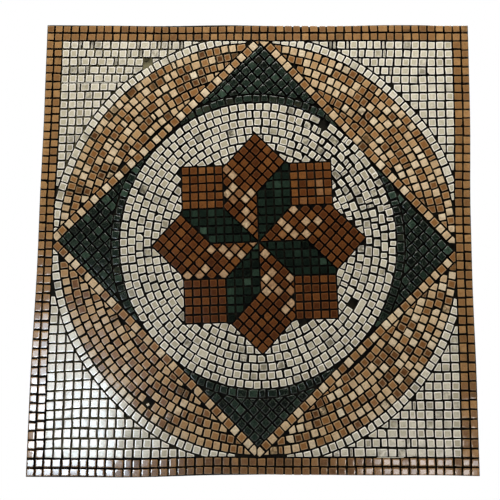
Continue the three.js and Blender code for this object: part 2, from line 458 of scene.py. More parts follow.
# How far each corner is pulled from where a square sheet would have it, in stones
CORNER_PULL = {
    (-1, 1): Vector((0.22, -0.14)),
    (1, 1): Vector((0.33, 0.12)),
    (-1, -1): Vector((-0.1, -0.32)),
    (1, -1): Vector((0.1, 0.08)),
}


def pulled(place):
    """Where a place in the square sheet comes to lie; the middle of the sheet stays put"""
    def share(value, low, high):
        rise = min(max((value / HALF_PANEL - low) / (high - low), 0), 1)
        return rise * rise * (3 - 2 * rise)

    across, up = abs(place.x), abs(place.y)
    corner = (math.copysign(1, place.x), math.copysign(1, place.y))
    return place + CORNER_PULL[corner] * share(max(across, up), 0.68, 0.97) * share(min(across, up), 0.1, 0.6)


def edge_dip(name, place):
    return sum(depth * math.exp(-((place - at) / reach) ** 2) for at, reach, depth in EDGE_DIPS[name])


def press_in(name, stones, across):
    """Narrows both courses where the outer edge dips, leaving the inner joint where it is"""
    inward = heading(across)
    sideways = heading(across - 90)
    end = HALF_PANEL - HALF_GAP - EDGE_LIP
    for stone in stones:
        outline = []
        for corner in stone.outline:
            place = corner.dot(sideways) * (1 if across in (0, 270) else -1)
            dip = edge_dip(name, place)
            from_inner_joint = -HALF_OPENING - corner.dot(inward)
            outer = FRAME_COURSES - HALF_GAP - EDGE_LIP
            lined_up = outer if from_inner_joint > outer - NEAR_EDGE else from_inner_joint
            pressed = lined_up * (1 - dip / FRAME_COURSES)
            along = corner.dot(sideways)
            squared = math.copysign(end, along) if abs(along) > end - NEAR_END else along
            outline.append(corner + inward * (from_inner_joint - pressed) + sideways * (squared - along))
        stone.outline = outline


def border_side(name, start, along, across, count, length):
    chance = random.Random(name)

    def marks_of(row):
        pairs = even_marks(chance, 0.0, count, length)
        if (name, row) == WIDE_STONE_COURSE:
            (first, middle), (_, last) = pairs[WIDE_STONE_PLACE:WIDE_STONE_PLACE + 2]
            middle += WIDE_STONE_EXTRA
            pairs[WIDE_STONE_PLACE:WIDE_STONE_PLACE + 2] = [(first, middle), (middle, last)]
        return pairs

    stones = straight_courses(chance, start, along, across, FRAME_COURSES, 1.0, marks_of, BORDER_MIX, 0.8)
    # each side's stones are made paler or darker by its painted light and shade
    for stone in stones:
        stone.tone += BORDER_LIGHT_AND_SHADE[name]
    press_in(name, stones, across)
    return stones


def frame_fields():
    """Two courses all round; the top and bottom take the corners"""
    full, opening = HALF_PANEL, HALF_OPENING
    sides = (
        ("frame_top", (-full, full), 0, 270, STONES_ACROSS, 1.0),
        ("frame_bottom", (-full, -full), 0, 90, STONES_ACROSS, 1.0),
        ("frame_left", (-full, -opening), 90, 0, LEFT_STONES, 2 * opening / LEFT_STONES),
        ("frame_right", (full, -opening), 90, 180, RIGHT_STONES, 2 * opening / RIGHT_STONES),
    )
    return {name: border_side(name, Vector(start), *laying) for name, start, *laying in sides}


# For each corner: how far from the frame the odd stones begin, their lengths, the share of stained stones
CORNER_LAYING = {
    "ne": (6.0, (0.45, 0.8, 1.0, 1.0, 1.1), 0.06),
    "nw": (1.8, (0.45, 0.9, 1.0, 1.0, 1.0, 1.0, 1.05, 1.2), 0.12),
    "sw": (30.0, (1.0,), 0.03),
    "se": (4.5, (0.5, 0.8, 1.0, 1.0, 1.1, 1.3), 0.3),
}


def corner_field(corner):
    chance = random.Random("corner " + corner)
    right, up = QUADRANTS[corner]
    start = Vector((right * HALF_OPENING, up * HALF_OPENING))
    odd_from, lengths, stained = CORNER_LAYING[corner]
    along = 180 if right > 0 else 0
    stones = straight_courses(
        chance, start, along, -90 * up, CORNER_COURSES, CORNER_PITCH,
        lambda row: odd_marks(chance, 0.0, CORNER_LENGTH, odd_from, lengths), CREAM_MIX, 0.9,
    )
    for stone in stones:
        if chance.random() < stained:
            stone.stain = chance.uniform(0.2, 0.75)
    outside_ring = round_limit(lambda degrees: ring_radius(degrees) + 0.5 + HALF_JOINT, -1)
    return trim(stones, *quadrant(corner), outside_ring, *OPENING)


def arc_of(corner):
    """Bearings between which a corner's quarter of a round lies"""
    middle = {"ne": 45, "nw": 135, "sw": 225, "se": 315}[corner]
    return middle - ARC_REACH, middle + ARC_REACH


def ring_arc(corner):
    chance = random.Random("ring " + corner)
    stones = round_course(chance, ring_radius, *arc_of(corner), CREAM_MIX, length=0.98, pitch=1.0)
    direction, distance = DIAMOND_EDGES[corner]
    outside_diamond = beyond(direction, distance + 0.5 + HALF_JOINT)
    return trim(stones, *quadrant(corner), outside_diamond, *OPENING)


def segment(corner):
    """Six courses that follow the ring, down to the diamond"""
    chance = random.Random("segment " + corner)
    direction, distance = DIAMOND_EDGES[corner]
    stones = []
    for course in range(1, SEGMENT_COURSES + 1):
        stones += round_course(
            chance, lambda degrees: ring_radius(degrees) - course * SEGMENT_PITCH, *arc_of(corner),
            SEGMENT_MIXES[corner], length=0.96, pitch=SEGMENT_PITCH, disorder_at=lambda degrees: 0.15,
        )
    for stone in stones:
        stone.tone += SEGMENT_SHIFT[corner]
    return trim(stones, *quadrant(corner), beyond(direction, distance + 0.5 + HALF_JOINT), *OPENING)


def diamond_edge(corner):
    """One course along an edge, tan and brown by turns"""
    chance = random.Random("diamond " + corner)
    direction, distance = DIAMOND_EDGES[corner]
    start = spot(distance - 0.5, direction) + heading(direction - 90) * DIAMOND_REACH
    stones = straight_courses(
        chance, start, direction + 90, direction, 1, 1.0,
        lambda row: even_marks(chance, 0.0, 2 * DIAMOND_REACH, 1.0), DIAMOND_MIX, 1.0,
    )
    for i, stone in enumerate(stones):
        if chance.random() < 0.75:
            stone.tone = pick_tone(chance, DIAMOND_MIX[i % 2:i % 2 + 1])
    return trim(stones, *quadrant(corner), *OPENING)


GREEN_CORNERS = {"n": ("ne", "nw", 90), "w": ("nw", "sw", 180), "s": ("sw", "se", 270), "e": ("se", "ne", 0)}
WEDGE_START = 9


def green_wedge(corner):
    first, second, direction = GREEN_CORNERS[corner]
    limits = [beyond(direction, WEDGE_START), *OPENING]
    for edge in (first, second):
        across, distance = DIAMOND_EDGES[edge]
        limits.append(short_of(across, distance - 0.5 - HALF_JOINT))
    return limits


def green_triangle(corner):
    """A corner of the diamond, in courses along one of its edges"""
    chance = random.Random("green " + corner)
    across, distance = DIAMOND_EDGES[GREEN_CORNERS[corner][0]]
    start = spot(distance - 0.5, across) + heading(across + 90) * DIAMOND_REACH
    stones = straight_courses(
        chance, start, across - 90, across + 180, GREEN_COURSES, 1.0,
        lambda row: even_marks(chance, 0.0, 2 * DIAMOND_REACH, 1.0), GREEN_MIX, 1.3,
    )
    return trim(stones, round_limit(lambda degrees: CREAM_RADIUS + 1 + HALF_JOINT, -1), *green_wedge(corner))


def green_arc(corner):
    chance = random.Random("arc " + corner)
    direction = GREEN_CORNERS[corner][2]
    stones = round_course(
        chance, lambda degrees: CREAM_RADIUS + 0.5, direction - GREEN_ARC_REACH, direction + GREEN_ARC_REACH,
        GREEN_MIX, length=1.0, pitch=1.0, disorder_at=lambda degrees: 0.5,
    )
    return trim(stones, *green_wedge(corner))


def star_square_outline(direction):
    near = spot(RHOMBUS_SIDE, direction, STAR_CENTRE)
    far = spot(SQUARE_SIDE * math.sqrt(2), direction, near)
    return [near, spot(SQUARE_SIDE, direction - 45, near), far, spot(SQUARE_SIDE, direction + 45, near)]


def star_rhombus_outline(direction):
    """A rhombus whose tip is cut off level with the corners of the squares beside it"""
    blunt_tip = (RHOMBUS_SIDE + SQUARE_SIDE) * math.cos(math.radians(HALF_POINT))
    half_tip = (RHOMBUS_SIDE - SQUARE_SIDE) * math.sin(math.radians(HALF_POINT))
    tip = spot(blunt_tip, direction, STAR_CENTRE)
    return [
        STAR_CENTRE,
        spot(RHOMBUS_SIDE, direction - HALF_POINT, STAR_CENTRE),
        spot(half_tip, direction - 90, tip),
        spot(half_tip, direction + 90, tip),
        spot(RHOMBUS_SIDE, direction + HALF_POINT, STAR_CENTRE),
    ]


STAR_POINTS = ("e", "ne", "n", "nw", "w", "sw", "s", "se")
STAR_BETWEEN = ("ene", "nne", "nnw", "wnw", "wsw", "ssw", "sse", "ese")


def star_square(index):
    point = STAR_POINTS[index]
    chance = random.Random("square " + point)
    direction = index * 45 + STAR_TURN
    pitch = SQUARE_SIDE / SQUARE_COURSES
    return straight_courses(
        chance, spot(RHOMBUS_SIDE, direction, STAR_CENTRE), direction - 45, direction + 45,
        SQUARE_COURSES, pitch, lambda row: even_marks(chance, 0.0, SQUARE_COURSES, pitch, STAR_SLACK),
        SQUARE_MIXES.get(point, STAR_BROWN), 0.6,
    )


def star_rhombus(index, mix, pale_lines):
    """Four courses along one side; pale stones step across them on slanting lines"""
    chance = random.Random("rhombus " + STAR_BETWEEN[index])
    direction = index * 45 + HALF_POINT + STAR_TURN
    outline = star_rhombus_outline(direction)
    along, across = direction + HALF_POINT, direction + HALF_POINT - 90
    pitch = RHOMBUS_SIDE * math.sqrt(0.5) / RHOMBUS_COURSES
    first, count = -5, 17
    stones = straight_courses(
        chance, STAR_CENTRE, along, across, RHOMBUS_COURSES, pitch,
        lambda row: even_marks(chance, first * pitch, count, pitch, STAR_SLACK), mix, 0.6,
    )
    for line in pale_lines:
        for row in range(RHOMBUS_COURSES):
            place = line + round(0.6 * row) + chance.choice((0, 0, 0, -1, 1))
            stones[row * count + place - first].tone = pick_tone(chance, STAR_PALE)
            if chance.random() < 0.6:
                place += chance.choice((-2, -1, 1))
                stones[row * count + place - first].tone = pick_tone(chance, STAR_TAN)
    return trim(stones, inside(outline))


def star_outlines():
    squares = [star_square_outline(i * 45 + STAR_TURN) for i in range(8)]
    rhombi = [star_rhombus_outline(i * 45 + HALF_POINT + STAR_TURN) for i in range(8)]
    return squares + rhombi


def cream_disorder(degrees):
    """The rounds are laid least evenly toward the upper right"""
    away = abs((degrees - 32 + 180) % 360 - 180)
    return max(0.1, 1 - (away / 55) ** 2)


def cream_field():
    """Rounds from the green course in to the star"""
    chance = random.Random("cream rounds")
    stones = []
    for course in range(CREAM_COURSES):
        start = chance.uniform(0, 20)
        stones += round_course(
            chance, lambda degrees: CREAM_OUTER_COURSE - CREAM_STEP * course, start, start + 360, ROUND_MIX,
            length=1.0, pitch=0.955, disorder_at=cream_disorder,
        )
    stones = trim(stones, *(clear_of(shape) for shape in star_outlines()))
    distance, degrees = TIP_STONE
    stones.append(lay_stone(chance, spot(distance, degrees), degrees - 90, 0.9, 0.84, ROUND_MIX, 0.4))
    return stones


# Stones unlike their neighbours: field, bearing and distance from the middle, tone (None: lost), stain
ODD_STONES = (
    ("segment_ne", 26.5, 21.7, 0.97, 0.0),
    ("diamond_edge_ne", 41.5, 16.6, 0.15, 0.6),
    ("segment_sw", 235.5, 21.5, None, 0.0),
    ("segment_sw", 226.5, 22.5, 1.0, 0.0),
    ("segment_sw", 229.0, 22.5, 1.0, 0.0),
    ("segment_sw", 243.5, 21.5, 0.5, 1.0),
    ("segment_se", 297.0, 21.1, 1.0, 0.0),
    ("segment_se", 341.5, 22.8, 0.7, 1.0),
    ("ring_arc_se", 319.0, 23.7, 0.1, 0.4),
    ("segment_nw", 126.0, 17.9, 0.2, 0.8),
    ("segment_nw", 111.0, 20.9, 0.97, 0.0),
    ("corner_field_nw", 122.0, 24.9, None, 0.0),
    ("cream_field", 156.6, 14.8, 0.2, 1.0),
    ("cream_field", 141.0, 12.5, None, 0.0),
    ("cream_field", 330.0, 12.8, None, 0.0),
    ("cream_field", 327.0, 13.6, 0.75, 0.0),
    ("cream_field", 299.0, 10.5, None, 0.0),
    ("cream_field", 308.0, 13.4, 0.3, 0.8),
    ("cream_field", 274.6, 13.6, 0.3, 0.7),
    ("cream_field", 234.0, 13.6, 0.4, 0.9),
    ("cream_field", 59.3, 15.6, None, 0.0),
)
DOUBLE_STONE = ("cream_field", 326.5, 13.2)  # one stone as long as two
CHIP = ("segment_sw", 235.3, 21.8)  # a pale chip lying in a gap


def nearest_stone(stones, degrees, distance):
    place = spot(distance, degrees)
    return min(stones, key=lambda stone: (middle_of(stone.outline) - place).length)


def set_odd_stones(fields):
    for name, degrees, distance, tone, stain in ODD_STONES:
        stones = fields[name][0]
        stone = nearest_stone(stones, degrees, distance)
        if tone is None:
            stones.remove(stone)
        else:
            stone.tone, stone.stain = tone, stain
    name, degrees, distance = CHIP
    corners = [spot(0.2, degrees + turn, spot(distance, degrees)) for turn in (20, 110, 185, 290)]
    fields[name][0].append(Stone(corners, 1.0))
    name, degrees, distance = DOUBLE_STONE
    stones = fields[name][0]
    right = nearest_stone(stones, degrees, distance)
    left = stones[stones.index(right) + 1]
    right.outline = [left.outline[0], right.outline[1], right.outline[2], left.outline[3]]
    stones.remove(left)


def all_fields():
    """Every field by the name of the node it stands for, with its kind of stone"""
    fields = {name: (stones, "brown_stone") for name, stones in frame_fields().items()}
    for corner in QUADRANTS:
        fields["corner_field_" + corner] = (corner_field(corner), "cream_stone")
        fields["ring_arc_" + corner] = (ring_arc(corner), "cream_stone")
        fields["segment_" + corner] = (segment(corner), "tan_stone")
        fields["diamond_edge_" + corner] = (diamond_edge(corner), "tan_stone")
    for corner in GREEN_CORNERS:
        fields["green_triangle_" + corner] = (green_triangle(corner), "green_stone")
        fields["green_arc_" + corner] = (green_arc(corner), "green_stone")
    fields["cream_field"] = (cream_field(), "cream_stone")
    for i, point in enumerate(STAR_POINTS):
        fields["star_square_" + point] = (star_square(i), "red_brown_stone")
    for i, between in enumerate(STAR_BETWEEN):
        if i % 2:
            fields["green_rhombus_" + between] = (star_rhombus(i, GREEN_MIX, ()), "green_stone")
        else:
            fields["brown_rhombus_" + between] = (star_rhombus(i, STAR_BROWN, (2, 5)), "red_brown_stone")
    set_odd_stones(fields)
    return fields


# Stones from their outlines

def build_stones(name, stones):
    """Each stone has straight sides, a rounded arris and a flat top, and is a little tipped"""
    chance = random.Random("tilt " + name)
    arris = list(ARRIS)
    if name.startswith(WORN_FIELDS):
        inwards, _, radius, highlight_share = arris[1]
        arris[1] = (inwards, WORN_DEPTH, radius, highlight_share)
    widest = arris[-1][0] / PITCH_U
    vertices, faces, tops, tones, grains, stains, arris_highlights = [], [], [], [], [], [], []
    for stone in stones:
        outline = [pulled(corner) for corner in stone.outline]
        middle = middle_of(outline)
        small = min(1.0, ARRIS_ROOM * most_inset(outline) / widest)
        tilt = Vector((chance.gauss(0, STONE_TILT), chance.gauss(0, STONE_TILT))) * PITCH_U
        highest = max(-(corner - middle).dot(tilt) for corner in outline)
        top = FACE + highest + abs(chance.gauss(0, STONE_RISE))
        grain = chance.random()
        count = 2 * len(outline)
        first = len(vertices)
        steps = [(0.0, None, arris[0][2], 1.0), *arris]
        # Each ring carries its share of the painted highlight along the arris
        for inwards, below, radius, highlight_share in steps:
            ring = drawn_in(outline, inwards * small / PITCH_U)
            for corner in eased(ring, radius * small):
                height = BED_FRONT if below is None else top + below * small + (corner - middle).dot(tilt)
                vertices.append((corner.x * PITCH_U, height, corner.y * PITCH_V))
                arris_highlights.append(highlight_share)
        tones += [stone.tone] * count * len(steps)
        grains += [grain] * count * len(steps)
        stains += [stone.stain] * count * len(steps)
        faces.append(list(range(first, first + count))[::-1])
        for ring_start in range(first, first + count * len(arris), count):
            for i in range(count):
                here, there = ring_start + i, ring_start + (i + 1) % count
                faces.append((here, there, there + count, here + count))
        tops.append(len(faces))
        faces.append(list(range(first + count * len(arris), first + count * len(steps))))
    mesh = bpy.data.meshes.new(name)
    mesh.from_pydata(vertices, [], faces)
    for attribute_name, values in (("tone", tones), ("grain", grains), ("stain", stains), ("arris_highlight", arris_highlights)):
        mesh.attributes.new(attribute_name, "FLOAT", "POINT").data.foreach_set("value", values)
    piece = bpy.data.objects.new(name, mesh)
    bpy.context.collection.objects.link(piece)
    only_active(piece)
    bpy.ops.object.shade_smooth_by_angle(angle=math.radians(40))
    for index in tops:
        mesh.polygons[index].use_smooth = False
    return piece


# Materials

def srgb(red, green, blue):
    """A colour from its 0 to 255 values"""
    def linear(value):
        value /= 255
        return value / 12.92 if value <= 0.04045 else ((value + 0.055) / 1.055) ** 2.4
    return linear(red), linear(green), linear(blue), 1.0


def add(tree, kind, inputs=(), **settings):
    """Adds a node, links or sets its inputs, and returns it"""
    node = tree.nodes.new("ShaderNode" + kind)
    for name, value in settings.items():
        setattr(node, name, value)
    for key, source in dict(inputs).items():
        if isinstance(source, bpy.types.NodeSocket):
            tree.links.new(source, node.inputs[key])
        else:
            node.inputs[key].default_value = source
    return node


def blend(tree, factor, first, second, mode="MIX"):
    node = add(tree, "Mix", {0: factor, 6: first, 7: second}, data_type="RGBA", blend_type=mode)
    return node.outputs[2]


def remap(tree, value, low, high, to_low=0.0, to_high=1.0):
    inputs = {0: value, 1: low, 2: high, 3: to_low, 4: to_high}
    return add(tree, "MapRange", inputs, clamp=True).outputs[0]


def maths(tree, operation, first, second=0.0):
    return add(tree, "Math", {0: first, 1: second}, operation=operation).outputs[0]


def attribute(tree, name):
    return add(tree, "Attribute", attribute_name=name).outputs["Fac"]


def mottle(tree, place, scale, detail, distortion=0.0):
    inputs = {"Vector": place, "Scale": scale, "Detail": detail, "Distortion": distortion}
    return add(tree, "TexNoise", inputs).outputs[0]


def to_edge_of_sheet(tree, position):
    """How far a place is from the nearest outer edge"""
    reaches = ((sheet_width / 2, position[0]), (sheet_height / 2, position[2]))
    gaps = [maths(tree, "SUBTRACT", reach, maths(tree, "ABSOLUTE", at)) for reach, at in reaches]
    return maths(tree, "MINIMUM", *gaps)


def new_material(name):
    material = bpy.data.materials.new(name)
    material.use_nodes = True
    tree = material.node_tree
    return material, tree, tree.nodes["Principled BSDF"]


def raise_surface(tree, shader, strength, distance, height):
    bump = add(tree, "Bump", {"Strength": strength, "Distance": distance, "Height": height})
    tree.links.new(bump.outputs[0], shader.inputs["Normal"])


# Arris Amount: how strongly the painted highlight along the arrises shows
AMOUNTS = ("Cloud Amount", "Vein Amount", "Arris Amount", "Grain Amount")


def stone_finish_group():
    """Mottling, veins, a painted highlight along the arrises, resin smears, and painted shade on the stones'
    sides down in the joints, shared by all the stones
    """
    group = bpy.data.node_groups.new("stone finish", "ShaderNodeTree")
    sockets = group.interface
    for name, in_out, kind in (
        *((name, "INPUT", "Color") for name in ("Stone", "Cloud", "Vein", "Arris")),
        *((name, "INPUT", "Float") for name in (*AMOUNTS, "Pattern Scale")),
        ("Colour", "OUTPUT", "Color"),
        *((name, "OUTPUT", "Float") for name in ("Roughness", "Polish", "Height")),
    ):
        sockets.new_socket(name, in_out=in_out, socket_type="NodeSocket" + kind)
    given = group.nodes.new("NodeGroupInput").outputs
    made = group.nodes.new("NodeGroupOutput").inputs

    place = add(group, "TexCoord").outputs["Object"]
    shift = add(group, "VectorMath", {0: (9.1, 5.3, 7.7), "Scale": attribute(group, "grain")},
                operation="SCALE").outputs[0]
    pattern = add(group, "VectorMath", {0: place, 1: shift}, operation="ADD").outputs[0]
    pattern = add(group, "VectorMath", {0: pattern, "Scale": given["Pattern Scale"]},
                  operation="SCALE").outputs[0]
    clouds = mottle(group, pattern, 1.0, 4.0, 0.6)
    grain = mottle(group, pattern, 6.0, 3.0)
    streaks = mottle(group, pattern, 0.45, 2.0, 1.8)

    cloud = remap(group, clouds, 0.42, 0.66)
    cloud = maths(group, "MULTIPLY", cloud, given["Cloud Amount"])
    colour = blend(group, cloud, given["Stone"], given["Cloud"])
    line = maths(group, "ABSOLUTE", maths(group, "SUBTRACT", streaks, 0.5))
    vein = maths(group, "MULTIPLY", remap(group, line, 0.0, 0.022, 1.0, 0.0), given["Vein Amount"])
    colour = blend(group, vein, colour, given["Vein"])
    speck = remap(group, grain, 0.3, 0.7, 0.6, 1.35)
    speck_colour = add(group, "CombineColor", {0: speck, 1: speck, 2: speck}).outputs[0]
    colour = blend(group, given["Grain Amount"], colour, blend(group, 1.0, colour, speck_colour, "MULTIPLY"))

    position = add(group, "SeparateXYZ", {0: place}).outputs
    deep = remap(group, position[1], FACE + 0.0003, FACE + 0.0012)
    # Painted highlight: the arrises are paled toward the Arris colour as if catching light, much less down
    # the sides, unevenly with the clouds
    arris_highlight = remap(group, attribute(group, "arris_highlight"), 0.1, 0.75)
    arris_highlight = maths(group, "MULTIPLY", arris_highlight, remap(group, deep, 0.0, 1.0, 1.0, 0.1))
    arris_highlight = maths(group, "MULTIPLY", arris_highlight, remap(group, clouds, 0.3, 0.6, 0.75, 1.1))
    colour = blend(group, maths(group, "MULTIPLY", arris_highlight, given["Arris Amount"]), colour, given["Arris"])
    stain = maths(group, "MULTIPLY", attribute(group, "stain"), remap(group, clouds, 0.35, 0.55))
    colour = blend(group, stain, colour, blend(group, 0.72, colour, srgb(52, 48, 32)))
    # Painted shade: the stones' sides are darkened to near black down in the joints, away from the outer
    # edge; deeper down there are dark resin smears as well, near the edge too
    inner = remap(group, to_edge_of_sheet(group, position), 0.0045, 0.0052)
    smears = remap(group, clouds, 0.5, 0.6, 0.0, 0.8)
    smears = maths(group, "MULTIPLY", smears, remap(group, position[1], FACE + 0.002, BED_FRONT))
    joint_shade_and_smears = maths(group, "MULTIPLY", deep, maths(group, "MAXIMUM", inner, smears))
    # near black: the painted shade in the joints and the colour of the resin smears
    colour = blend(group, joint_shade_and_smears, colour, srgb(14, 10, 6))
    group.links.new(colour, made["Colour"])
    rough = remap(group, grain, 0.3, 0.7, 0.16, 0.3)
    group.links.new(maths(group, "MAXIMUM", rough, maths(group, "MULTIPLY", joint_shade_and_smears, 0.75)), made["Roughness"])
    group.links.new(maths(group, "SUBTRACT", 1.0, joint_shade_and_smears), made["Polish"])
    group.links.new(maths(group, "ADD", clouds, grain), made["Height"])
    return group


def stone_material(name, finish, tones, cloud, vein, arris, amounts, scale, coat, gloss=0.5):
    """A polished stone; tones run from the darkest stones to the palest, and amounts follow AMOUNTS"""
    material, tree, shader = new_material(name)
    ramp = add(tree, "ValToRGB", {0: attribute(tree, "tone")})
    stops = ramp.color_ramp.elements
    while len(stops) < len(tones):
        stops.new(0.5)
    for stop, (position, colour) in zip(stops, tones):
        stop.position = position
        stop.color = colour
    surface = add(tree, "Group", node_tree=finish)
    tree.links.new(ramp.outputs[0], surface.inputs["Stone"])
    # Arris and Arris Amount: colour and strength of the painted highlight along the arrises
    for socket, value in (("Cloud", cloud), ("Vein", vein), ("Arris", arris), ("Pattern Scale", scale)):
        surface.inputs[socket].default_value = value
    for socket, value in zip(AMOUNTS, amounts):
        surface.inputs[socket].default_value = value
    tree.links.new(surface.outputs["Colour"], shader.inputs["Base Color"])
    tree.links.new(surface.outputs["Roughness"], shader.inputs["Roughness"])
    raise_surface(tree, shader, 0.12, 0.0002, surface.outputs["Height"])
    polish = surface.outputs["Polish"]
    tree.links.new(maths(tree, "MULTIPLY", polish, coat), shader.inputs["Coat Weight"])
    tree.links.new(maths(tree, "MULTIPLY", polish, gloss), shader.inputs["Specular IOR Level"])
    shader.inputs["Coat Roughness"].default_value = 0.07
    return material


def stone_materials():
    finish = stone_finish_group()
    # arris: the colour of each stone's painted highlight along its arrises
    return {
        "brown_stone": stone_material(
            "brown marble", finish,
            ((0.0, srgb(104, 71, 40)), (0.5, srgb(140, 102, 61)), (1.0, srgb(174, 134, 86))),
            cloud=srgb(132, 93, 54), vein=srgb(92, 64, 40), arris=srgb(186, 152, 104),
            amounts=(0.5, 0.3, 0.25, 0.35), scale=190.0, coat=1.0,
        ),
        "cream_stone": stone_material(
            "cream marble", finish,
            ((0.0, srgb(164, 155, 130)), (0.5, srgb(196, 189, 165)), (1.0, srgb(219, 213, 194))),
            cloud=srgb(176, 169, 144), vein=srgb(146, 137, 111), arris=srgb(252, 248, 238),
            amounts=(0.55, 0.35, 0.9, 0.15), scale=170.0, coat=0.4,
        ),
        "tan_stone": stone_material(
            "tan and brown marble", finish,
            ((0.0, srgb(72, 44, 23)), (0.25, srgb(108, 70, 36)), (0.45, srgb(144, 102, 58)),
             (0.6, srgb(179, 145, 102)), (0.8, srgb(212, 189, 154)), (1.0, srgb(229, 219, 194))),
            cloud=srgb(138, 99, 58), vein=srgb(98, 66, 38), arris=srgb(232, 208, 168),
            amounts=(0.35, 0.3, 0.3, 0.25), scale=190.0, coat=0.1, gloss=0.22,
        ),
        "green_stone": stone_material(
            "dark green marble", finish,
            ((0.0, srgb(7, 11, 8)), (0.45, srgb(21, 34, 27)), (1.0, srgb(60, 82, 68))),
            cloud=srgb(10, 16, 12), vein=srgb(96, 110, 92), arris=srgb(72, 84, 70),
            amounts=(0.6, 0.35, 0.25, 0.5), scale=230.0, coat=0.6, gloss=0.15,
        ),
        "honed_green_stone": stone_material(
            "honed dark green marble", finish,
            ((0.0, srgb(6, 9, 7)), (0.45, srgb(25, 39, 31)), (1.0, srgb(62, 84, 69))),
            cloud=srgb(10, 16, 12), vein=srgb(60, 76, 60), arris=srgb(36, 50, 40),
            amounts=(0.5, 0.2, 0.15, 0.4), scale=230.0, coat=0.1, gloss=0.1,
        ),
        "red_brown_stone": stone_material(
            "red-brown marble", finish,
            ((0.0, srgb(62, 31, 11)), (0.3, srgb(92, 51, 21)), (0.6, srgb(124, 79, 38)),
             (0.82, srgb(182, 150, 114)), (1.0, srgb(202, 178, 144))),
            cloud=srgb(74, 40, 18), vein=srgb(54, 30, 16), arris=srgb(146, 96, 54),
            amounts=(0.45, 0.35, 0.28, 0.3), scale=210.0, coat=0.12, gloss=0.25,
        ),
    }


def resin_material():
    """Dark olive setting resin, mottled; in the joints it is paler toward the upper left, and lightened with
    painted light toward the lower left, where the glare falls
    """
    material, tree, shader = new_material("setting resin")
    place = add(tree, "TexCoord").outputs["Object"]
    patches = mottle(tree, place, 28.0, 6.0)
    lumps = mottle(tree, place, 420.0, 4.0)
    colour = blend(tree, remap(tree, patches, 0.35, 0.65), srgb(14, 11, 6), srgb(34, 31, 21))
    sides = add(tree, "SeparateXYZ", {0: place}).outputs
    ragged = maths(tree, "MULTIPLY", patches, 0.12)
    toward_top_left = maths(tree, "ADD", maths(tree, "SUBTRACT", sides[2], sides[0]), ragged)
    toward_glare_lit_low_left = maths(tree, "SUBTRACT", ragged, maths(tree, "ADD", sides[2], sides[0]))
    # Paler toward the upper left; toward the lower left the lightening is painted light from the glare
    pale = maths(tree, "MAXIMUM", remap(tree, toward_top_left, 0.36, 0.48),
                 remap(tree, toward_glare_lit_low_left, 0.4, 0.5, 0.0, 0.7))
    pale = maths(tree, "MULTIPLY", pale, remap(tree, sides[1], BED_FRONT - 0.002, BED_FRONT, 1.0, 0.0))
    pale = maths(tree, "MULTIPLY", pale, remap(tree, to_edge_of_sheet(tree, sides), 0.022, 0.025))
    # the pale olive of the paler joints and of the painted glare light
    colour = blend(tree, pale, colour, srgb(134, 128, 98))
    colour = blend(tree, remap(tree, lumps, 0.5, 0.75, 0.0, 0.5), colour, srgb(14, 12, 8))
    tree.links.new(colour, shader.inputs["Base Color"])
    tree.links.new(remap(tree, lumps, 0.3, 0.7, 0.5, 0.85), shader.inputs["Roughness"])
    shader.inputs["Specular IOR Level"].default_value = 0.08
    raise_surface(tree, shader, 0.5, 0.0003, lumps)
    return material


def net_material(name, dry, soaked_through):
    """Glass-fibre thread, soaked in resin here and there"""
    material, tree, shader = new_material(name)
    place = add(tree, "TexCoord").outputs["Object"]
    soaked = mottle(tree, place, 22.0, 5.0)
    fibres = mottle(tree, place, 1500.0, 2.0)
    colour = blend(tree, remap(tree, soaked, 0.4, 0.62), dry, soaked_through)
    colour = blend(tree, remap(tree, fibres, 0.45, 0.7, 0.0, 0.4), colour, srgb(150, 148, 128))
    tree.links.new(colour, shader.inputs["Base Color"])
    tree.links.new(remap(tree, soaked, 0.35, 0.65, 0.6, 0.4), shader.inputs["Roughness"])
    raise_surface(tree, shader, 0.4, 0.0002, fibres)
    return material


# The bed and its net

def follow_outline(piece):
    """Gives a square sheet the panel's outline, with its dips and pulled corners"""
    for vertex in piece.data.vertices:
        place = vertex.co
        side = "frame_right" if place.x > 0 else "frame_left"
        end = "frame_top" if place.z > 0 else "frame_bottom"
        narrower = 1 - edge_dip(side, place.z / PITCH_V) / HALF_PANEL
        lower = 1 - edge_dip(end, place.x / PITCH_U) / HALF_PANEL
        moved = pulled(Vector((place.x * narrower / PITCH_U, place.z * lower / PITCH_V)))
        place.x, place.z = moved.x * PITCH_U, moved.y * PITCH_V


def only_active(piece):
    bpy.ops.object.select_all(action="DESELECT")
    piece.select_set(True)
    bpy.context.view_layer.objects.active = piece


def apply_modifiers(piece):
    only_active(piece)
    for modifier in list(piece.modifiers):
        bpy.ops.object.modifier_apply(modifier=modifier.name)


def turned(degrees, axis):
    return Matrix.Rotation(math.radians(degrees), 4, axis)


def lumps_at(place, coarse, fine):
    return noise.noise(place * coarse) * 0.6 + noise.noise(place * fine) * 0.4


def flat_sheet(name, columns, rows, width, height, back, thickness):
    """An upright sheet of small squares, closed all round"""
    bpy.ops.object.select_all(action="DESELECT")
    bpy.ops.mesh.primitive_grid_add(x_subdivisions=columns, y_subdivisions=rows, size=1, location=(0, 0, 0))
    sheet = bpy.context.active_object
    sheet.name = name
    bpy.ops.object.mode_set(mode="EDIT")
    bpy.ops.mesh.select_all(action="SELECT")
    bpy.ops.transform.resize(value=(width, height, 1))
    bpy.ops.object.mode_set(mode="OBJECT")
    sheet.data.transform(Matrix.Translation((0, back, 0)) @ turned(90, "X"))
    solid = sheet.modifiers.new("thickness", "SOLIDIFY")
    solid.thickness = thickness
    solid.offset = 1
    apply_modifiers(sheet)
    return sheet


def finish_sheet(sheet, material, smooth_below):
    follow_outline(sheet)
    sheet.data.materials.append(material)
    bpy.ops.object.shade_smooth_by_angle(angle=math.radians(smooth_below))


